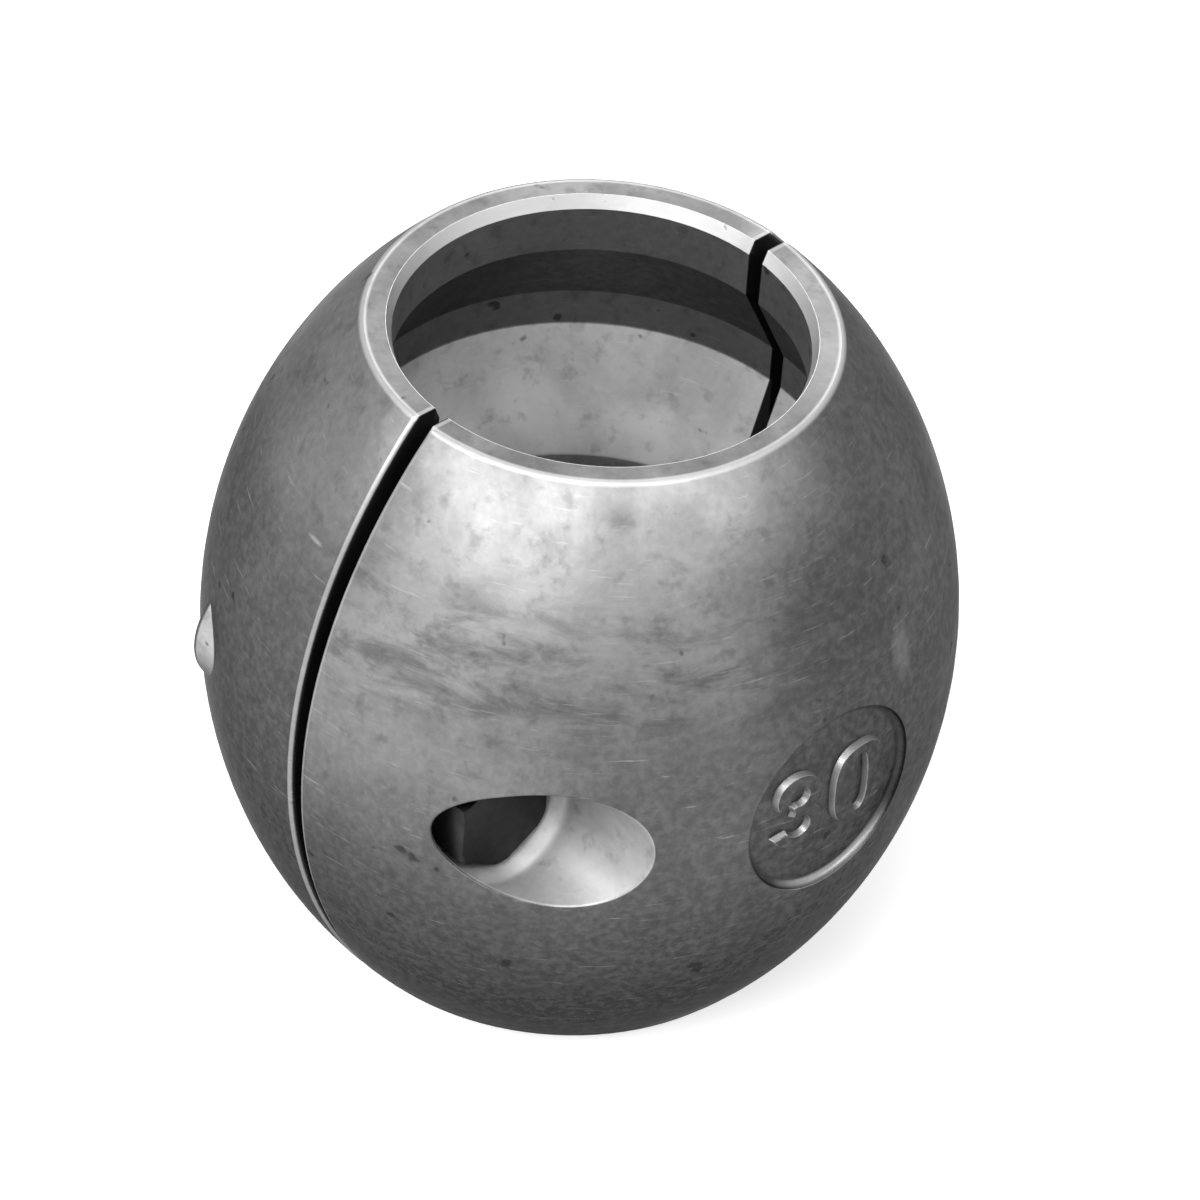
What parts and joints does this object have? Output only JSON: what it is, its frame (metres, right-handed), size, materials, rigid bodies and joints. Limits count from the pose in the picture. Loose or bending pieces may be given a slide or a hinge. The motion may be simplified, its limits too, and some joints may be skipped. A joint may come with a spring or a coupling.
{
  "type": "sacrificial shaft anode",
  "caption": "Barrel-shaped split zinc anode that clamps round a propeller shaft with recessed hex screws and corrodes in place of the metal near it.",
  "frame": {"origin": "middle of the shaft bore, on its axis and half way up the anode", "axes": "+Z along the shaft bore; the halves part on the XZ plane; the size pad faces -Y and the screws run along Y"},
  "size_m": [0.0548, 0.0542, 0.052],
  "materials": {
    "cast_zinc": "satin cast zinc",
    "cast_zinc_back": "satin cast zinc",
    "screw_steel": "plain stainless"
  },
  "bodies": {
    "root": {"front_half": "cast_zinc", "back_half": "cast_zinc_back", "front_screw": "screw_steel", "back_screw": "screw_steel"}
  },
  "joints": []
}
